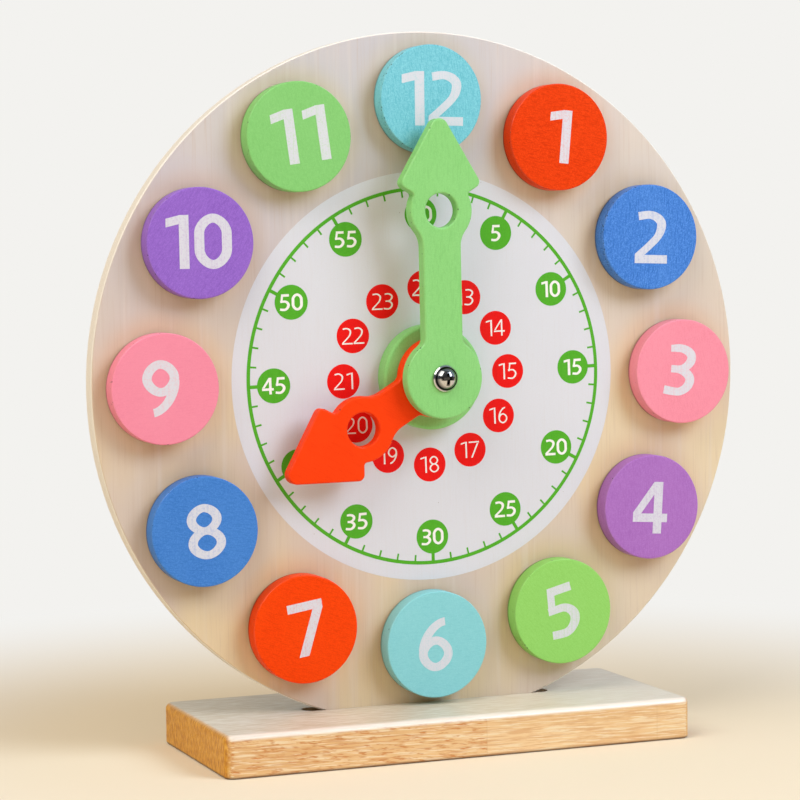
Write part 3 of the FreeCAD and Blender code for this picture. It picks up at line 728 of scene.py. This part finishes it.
def stroke_quads(stroke, weight):
    """The quads that cover one stroke, at a weight from 0 (hairline) to 1."""
    spread = (50 - LEVEL_STROKE / 2 * weight) / (50 - LEVEL_STROKE / 2)

    def lifted(y):
        return y if y in (0, CAP) else 50 + (y - 50) * spread

    if stroke[0] == "bar":
        p, q = (Vector((point[0], lifted(point[1]))) for point in stroke[1:3])
        half = Vector(stroke[3]) * (weight / 2)
        return [[p + half, q + half, q - half, p - half]]
    if stroke[0] == "ring":
        x, y, wide, high, side, top, bottom, fullness, straight = stroke[1:]
        ends = [(x + wide, y + straight, 90, side), (x, y + high, 180, top),
                (x - wide, y + straight, 270, side), (x, y - high, 360, bottom),
                (x + wide, y - straight, 450, side)]
        if straight:
            ends.insert(3, (x - wide, y - straight, 270, side))
            ends.append((x + wide, y + straight, 450, side))
    else:
        ends, fullness = stroke[1:], 0.57
    ends = [(x, lifted(y), head, wide * weight) for x, y, head, wide in ends]
    quads = []
    for start, end in zip(ends, ends[1:]):
        line = arc_points(start, end, fullness)
        sides = [(point + Vector((-d.y, d.x)) * (w / 2), point - Vector((-d.y, d.x)) * (w / 2))
                 for point, d, w in line]
        quads += [[a[0], a[1], b[1], b[0]] for a, b in zip(sides, sides[1:])]
    return quads


def counter_clockwise(quad):
    area = sum(a.x * b.y - b.x * a.y for a, b in zip(quad, quad[1:] + quad[:1]))
    return quad if area > 0 else quad[::-1]


print("numerals drawn:", "".join(sorted(NUMERALS)))

# %% Merge the strokes of a number and give it a thickness
def flat_shape(quads):
    """Merges overlapping quads. Returns the points and the triangles that the quads cover."""
    points, faces = [], []
    for quad in quads:
        faces.append(list(range(len(points), len(points) + 4)))
        points += counter_clockwise(quad)
    merged = delaunay_2d_cdt(points, [], faces, 0, 1e-4)
    triangles = [face for face, source in zip(merged[2], merged[5]) if source]
    return merged[0], triangles


def number_shape(text, weight):
    """A number's merged shape with the middle of its box at (0, 0), in grid units."""
    pen, quads = 0.0, []
    for digit in text:
        width, before, after, strokes = NUMERALS[digit]
        pen += before if quads else 0
        for stroke in strokes:
            quads += [[corner + Vector((pen, 0)) for corner in quad] for quad in stroke_quads(stroke, weight)]
        pen += width + after
    points, triangles = flat_shape(quads)
    used = [points[k] for triangle in triangles for k in triangle]
    middle = Vector(((min(p.x for p in used) + max(p.x for p in used)) / 2, CAP / 2))
    return [p - middle for p in points], triangles


def thicken(points, triangles, back, front):
    """A closed thin solid over triangles of (x, z) points. back and front are y values."""
    used = sorted({k for triangle in triangles for k in triangle})
    index = {k: n for n, k in enumerate(used)}
    count = len(used)
    vertices = [(points[k][0], y, points[k][1]) for y in (front, back) for k in used]
    faces = [[index[k] for k in triangle] for triangle in triangles]
    edges = dict.fromkeys((a, b) for face in faces for a, b in zip(face, face[1:] + face[:1]))
    walls = [[a, b, b + count, a + count] for a, b in edges if (b, a) not in edges]
    lids = [[k + count for k in reversed(face)] for face in faces]
    return vertices, faces + lids + walls


def printed_number(text, centre, cap, weight, turn, back, front):
    """A printed number: centre = (x, z), cap height in metres, turn in degrees clockwise."""
    points, triangles = number_shape(text, weight)
    c, s = math.cos(math.radians(turn)), math.sin(math.radians(turn))
    scale = cap / CAP
    placed = [(centre[0] + scale * (p.x * c + p.y * s), centre[1] + scale * (p.y * c - p.x * s))
              for p in points]
    return thicken(placed, triangles, back, front)


print("a 12 has", len(number_shape("12", 1.0)[1]), "triangles")

# %% [markdown]
# ## Numerals on the discs
# Each number is stamped by hand, so it sits a little off the middle and a little askew, which tells
# a hand-finished toy from a drawing.

# %% Large numerals
INK = 0.04 * MM
# across, up (mm from the disc's middle) and turn (degrees, clockwise) of each stamp
STAMPS = {
    1: (0.15, 0.3, 5.4), 2: (0.3, -0.1, 1), 3: (-1.4, 0.7, 5), 4: (-0.7, -0.2, 3.6),
    5: (-0.3, 0.2, -14.6), 6: (-0.6, 0.1, 2), 7: (0.7, 0.3, -9), 8: (0.3, 0.1, -5),
    9: (-1.5, 0.4, -3), 10: (-0.5, 0.5, -0.5), 11: (0.5, 0.4, -7.8), 12: (0.4, 0.2, 0),
}
BIG_CAP, TEN_CAP = 19.3 * MM, 18.6 * MM
for hour, (across, up, turn) in STAMPS.items():
    x, z = disc_centre[hour]
    shape = printed_number(str(hour), (x + across * MM, z + up * MM), TEN_CAP if hour == 10 else BIG_CAP,
                           1.0, turn, DISC_FRONT + INK, DISC_FRONT - INK)
    new_piece(f"numeral_{hour}", *shape, numeral_white[disc_pot[hour]], f"number_{hour}")
print("numerals stamped:", len(STAMPS))

# %% [markdown]
# ## The printed dial
# A screen printer lays the dial down in passes: a white ground, then green for the minutes and red
# for the hours from 13 to 24, then small white numbers. Each pass is a thin closed layer a few
# hundredths of a millimetre in front of the last. The whole print sits 1.6 degrees askew on the board.

# %% White ground and green minute ring
PRINT_TURN = -1.57
GROUND_RADIUS = 74.1 * MM
RING_RADIUS, RING_WIDTH = 67.9 * MM, 1.3 * MM
GROUND_HOLE = 17.0 * MM     # the hub spacer covers this middle
RING_SEGMENTS = 240
LAYER = 0.03 * MM
GROUND_FRONT = FACE - LAYER
COLOUR_FRONT = GROUND_FRONT - LAYER
NUMBER_FRONT = COLOUR_FRONT - LAYER


def flat_ring(inner, outer, back, front):
    """A flat ring about the axle."""
    profile = [(inner, back), (outer, back), (outer, front), (inner, front)]
    return turned(profile, (AXLE_X, AXLE_Z), RING_SEGMENTS, closed=True)


new_piece("dial_ground", *flat_ring(GROUND_HOLE, GROUND_RADIUS, FACE + LAYER, GROUND_FRONT),
          dial_white, "stand")
new_piece("minute_ring", *flat_ring(
    RING_RADIUS - RING_WIDTH / 2, RING_RADIUS + RING_WIDTH / 2, FACE, COLOUR_FRONT), dial_green, "stand")
print("ground radius", round(GROUND_RADIUS / MM, 1), "mm")

# %% [markdown]
# ## Repeats with Geometry Nodes
# Sixty minute ticks, twelve long ticks and two sets of twelve badges are all copies of a small shape
# round the axle. A loop or an Array modifier on a turned empty could place them. Geometry Nodes say
# the rule itself: points whose place comes from their index, with an instance on each, turned by
# its own angle. One tree serves all four, because its count, radius and sizes are inputs. It ends
# in Realize Instances and Set Material, so that a plain mesh is left.

# %% One tree for everything that repeats round the axle
def round_the_axle_tree():
    tree = bpy.data.node_groups.new("copies_round_the_axle", "GeometryNodeTree")
    kinds = {"Count": "Int", "Round": "Bool", "Ink": "Material"}
    sockets = {
        label: tree.interface.new_socket(
            label, in_out="INPUT", socket_type="NodeSocket" + kinds.get(label, "Float")).identifier
        for label in ("Count", "Radius", "First angle", "Depth", "Thickness", "Width", "Length",
                      "Round", "Ink")}
    tree.interface.new_socket("Geometry", in_out="OUTPUT", socket_type="NodeSocketGeometry")
    given = add_node(tree, "NodeGroupInput").outputs

    step = calc("DIVIDE", 2 * math.pi, given["Count"])
    index = add_node(tree, "GeometryNodeInputIndex").outputs[0]
    angle = calc("MULTIPLY_ADD", index, step, given["First angle"])
    x = calc("MULTIPLY_ADD", calc("SINE", angle), given["Radius"], AXLE_X)
    z = calc("MULTIPLY_ADD", calc("COSINE", angle), given["Radius"], AXLE_Z)
    place = add_node(tree, "ShaderNodeCombineXYZ", {0: x, 1: given["Depth"], 2: z}).outputs[0]
    points = add_node(tree, "GeometryNodePoints", {"Count": given["Count"], "Position": place}).outputs[0]

    size = add_node(tree, "ShaderNodeCombineXYZ",
                    {0: given["Width"], 1: given["Thickness"], 2: given["Length"]}).outputs[0]
    block = add_node(tree, "GeometryNodeMeshCube", {"Size": size}).outputs["Mesh"]
    coin = add_node(tree, "GeometryNodeMeshCylinder", {
        "Vertices": 64, "Radius": times(given["Width"], 0.5), "Depth": given["Thickness"]}).outputs["Mesh"]
    coin = add_node(tree, "GeometryNodeTransform", {
        "Geometry": coin, "Rotation": (math.pi / 2, 0.0, 0.0)}).outputs[0]
    shape = add_node(tree, "GeometryNodeSwitch", {
        "Switch": given["Round"], "False": block, "True": coin}, input_type="GEOMETRY").outputs[0]

    turn = add_node(tree, "ShaderNodeCombineXYZ", {1: angle}).outputs[0]
    copies = add_node(tree, "GeometryNodeInstanceOnPoints", {
        "Points": points, "Instance": shape, "Rotation": turn}).outputs[0]
    real = add_node(tree, "GeometryNodeRealizeInstances", {"Geometry": copies}).outputs[0]
    inked = add_node(tree, "GeometryNodeSetMaterial", {
        "Geometry": real, "Material": given["Ink"]}).outputs[0]
    add_node(tree, "NodeGroupOutput", {"Geometry": inked})
    return tree, sockets


def printed_repeat(name, body, sizes):
    """The tree's result for these inputs, as a plain mesh that rides on a body."""
    carrier = put_in_scene("carrier", bpy.data.meshes.new("carrier"))
    modifier = carrier.modifiers.new("copies", "NODES")
    modifier.node_group = repeat_tree
    for label, value in sizes.items():
        modifier[repeat_sockets[label]] = value
    bpy.context.view_layer.update()
    evaluated = carrier.evaluated_get(bpy.context.evaluated_depsgraph_get())
    mesh = bpy.data.meshes.new_from_object(evaluated)
    carrier.modifiers.clear()
    bpy.data.objects.remove(carrier)
    mesh.name = name
    piece = put_in_scene(name, mesh)
    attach(piece, body)
    print(name, "faces:", len(mesh.polygons))


repeat_tree, repeat_sockets = round_the_axle_tree()
print("inputs:", list(repeat_sockets))

# %% Ticks and badges
TICK_LENGTH, TICK_WIDTH = 2.2 * MM, 0.68 * MM
HOUR_TICK_WIDTH = 1.25 * MM
BADGE_WIDTH = 12.4 * MM
GREEN_BADGE_RADIUS, RED_BADGE_RADIUS = 58.5 * MM, 32.16 * MM
tick_inner = RING_RADIUS - RING_WIDTH / 2 - TICK_LENGTH
long_inner = GREEN_BADGE_RADIUS + 0.4 * BADGE_WIDTH
# name: count, radius, width, length, round or not, ink, and how many micrometres it stands out
# past the ring, so that no two faces lie in one plane
REPEATS = {
    "minute_ticks": (60, (tick_inner + RING_RADIUS) / 2, TICK_WIDTH, RING_RADIUS - tick_inner, False,
                     dial_green, 2),
    "hour_ticks": (12, (long_inner + RING_RADIUS) / 2, HOUR_TICK_WIDTH, RING_RADIUS - long_inner, False,
                   dial_green, 4),
    "minute_badges": (12, GREEN_BADGE_RADIUS, BADGE_WIDTH, BADGE_WIDTH, True, dial_green, 6),
    "afternoon_badges": (12, RED_BADGE_RADIUS, BADGE_WIDTH, BADGE_WIDTH, True, dial_red, 6),
}
for name, (count, radius, width, length, is_round, ink, out) in REPEATS.items():
    front = COLOUR_FRONT - out * MM / 1000
    printed_repeat(name, "stand", {
        "Count": count, "Radius": radius, "First angle": math.radians(PRINT_TURN),
        "Depth": (FACE + front) / 2, "Thickness": FACE - front, "Width": width, "Length": length,
        "Round": is_round, "Ink": ink})

# %% Small numbers on the badges
SMALL_CAP = 5.9 * MM
MINUTE_WEIGHT, AFTERNOON_WEIGHT = 0.9, 0.55


def badge_numbers(texts, radius, weight):
    """The numbers of one ring of badges as one solid, the first at 12 o'clock."""
    vertices, faces = [], []
    for k, text in enumerate(texts):
        number = printed_number(text, on_dial(30 * k + PRINT_TURN, radius), SMALL_CAP, weight, PRINT_TURN,
                                COLOUR_FRONT + LAYER, NUMBER_FRONT)
        faces += [[corner + len(vertices) for corner in face] for face in number[1]]
        vertices += number[0]
    return vertices, faces


minutes = badge_numbers(["60"] + [str(5 * k) for k in range(1, 12)], GREEN_BADGE_RADIUS, MINUTE_WEIGHT)
afternoon = badge_numbers(["24"] + [str(12 + k) for k in range(1, 12)], RED_BADGE_RADIUS, AFTERNOON_WEIGHT)
new_piece("minute_numbers", *minutes, badge_white, "stand")
new_piece("afternoon_numbers", *afternoon, badge_white, "stand")
print("small numbers:", len(minutes[1]) + len(afternoon[1]), "faces")

# %% [markdown]
# ## Floor and light
# A soft, slightly cool lamp stands up to the right in front, as a window would, and throws the
# shadows down to the left. A second one, high to the left, brightens the left sides of the thick
# pieces. The world fills the rest with warm light, more of it from behind, where no lamp reaches.
# Together they render the colour of a surface that faces the camera about as it is written. The
# floor is a pale plane that keeps the clock's shadow. It fades to the background's colour for the
# camera and reflections only, so no more light falls on the clock. The room behind the camera stays
# dim in reflections, or a white veil would lie over the deep colours.

# %% Floor
BACKGROUND = "#f3f2ef"
FLOOR_GLOSS = 0.35      # how much of the floor's fade a reflection sees; more turns the paint milky
FADE_BEHIND, FADE_ROUND = (0.12, 0.38), (0.4, 1.1)     # m from the origin, where the fade runs
BEHIND = (-0.30, 0.0)       # the y where the nearer fade sets in


def seen_by(tree, glossy_share):
    """The light path's outputs, and a mask that is 1 for the camera and less in reflections."""
    path = add_node(tree, "ShaderNodeLightPath").outputs
    seen = calc("MAXIMUM", path["Is Camera Ray"], times(path["Is Glossy Ray"], glossy_share))
    return path, calc("MAXIMUM", seen, path["Is Transmission Ray"])


def pale_floor():
    made, tree, shader = new_material("pale_studio_floor")
    feed(shader, {"Base Color": "#e8dac0", "Roughness": 0.9})
    distance = add_node(tree, "ShaderNodeVectorMath", {0: object_place(tree)},
                        operation="LENGTH").outputs["Value"]
    behind = times(remap(distance, *FADE_BEHIND), remap(object_axes(tree)[1], *BEHIND))
    far = calc("MAXIMUM", behind, remap(distance, *FADE_ROUND))
    seen = seen_by(tree, FLOOR_GLOSS)[1]
    glow = add_node(tree, "ShaderNodeEmission", {"Color": BACKGROUND, "Strength": 1.0})
    blend = add_node(tree, "ShaderNodeMixShader", {
        0: times(far, seen), 1: shader.outputs[0], 2: glow.outputs[0]})
    feed(tree.nodes["Material Output"], {"Surface": blend.outputs[0]})
    return made


FLOOR_HALF = 12.0
floor_mesh = bpy.data.meshes.new("floor")
floor_mesh.from_pydata([(x * FLOOR_HALF, y * FLOOR_HALF, 0) for x, y in ((-1, -1), (1, -1), (1, 1), (-1, 1))],
                       [], [(0, 1, 2, 3)])
floor_mesh.materials.append(pale_floor())
floor = put_in_scene("floor", floor_mesh)
print("floor:", 2 * FLOOR_HALF, "m")

# %% World and lamps
MIRRORED_WALL = "#9fb3bb"    # a reflection finds the backdrop cooler and dimmer than the camera
FRONT_FILL, BACK_FILL = 0.26, 0.50    # the lamps only reach the front, so more fill comes from behind
# Directions: the y and the z where a reflection stops finding the dim room.
ROOM_IN_FRONT, ROOM_BELOW = (-0.55, 0.0), (0.0, 0.14)

world = bpy.data.worlds.new("studio")
world.use_nodes = True
bpy.context.scene.world = world
bpy.context.scene.view_settings.view_transform = "Standard"
sky = world.node_tree
fill = sky.nodes["Background"]
path, seen = seen_by(sky, 1.0)
wall = tint(path["Is Glossy Ray"], BACKGROUND, MIRRORED_WALL)
pale = add_node(sky, "ShaderNodeBackground", {"Color": wall, "Strength": 1.0})
direction = add_node(sky, "ShaderNodeTexCoord").outputs["Generated"]
axes = add_node(sky, "ShaderNodeSeparateXYZ", {0: direction}).outputs
feed(fill, {
    "Strength": remap(axes[1], 0.0, 0.5, FRONT_FILL, BACK_FILL),
    "Color": tint(remap(axes[1], 0.0, 0.5), "#ffdfae", "#ffeed6")})
room = calc("MAXIMUM", remap(axes[1], *ROOM_IN_FRONT, 1.0, 0.0), remap(axes[2], *ROOM_BELOW, 1.0, 0.0))
room = times(room, path["Is Glossy Ray"])
dim = add_node(sky, "ShaderNodeBackground", {"Color": "#3c3d41", "Strength": 1.0})
shown = add_node(sky, "ShaderNodeMixShader", {0: room, 1: pale.outputs[0], 2: dim.outputs[0]})
both = add_node(sky, "ShaderNodeMixShader", {0: seen, 1: fill.outputs[0], 2: shown.outputs[0]})
feed(sky.nodes["World Output"], {"Surface": both.outputs[0]})


def soft_lamp(name, azimuth, elevation, distance, size, watts, colour):
    """A square lamp that faces the clock. Azimuth 0 is in front and 90 is to the right."""
    a, e = math.radians(azimuth), math.radians(elevation)
    away = Vector((math.sin(a) * math.cos(e), -math.cos(a) * math.cos(e), math.sin(e)))
    data = bpy.data.lights.new(name, "AREA")
    data.size, data.energy, data.color = size, watts, linear(colour)[:3]
    target = Vector((AXLE_X, 0.0, AXLE_Z))
    put_in_scene(name, data).matrix_world = Matrix.Translation(target + away * distance) @ (
        away.to_track_quat("Z", "Y").to_matrix().to_4x4())


soft_lamp("key_lamp", 40, 34, 1.5, 0.85, 20.5, "#dcebff")
soft_lamp("side_lamp", -65, 48, 1.4, 1.2, 18.2, "#f0eeea")
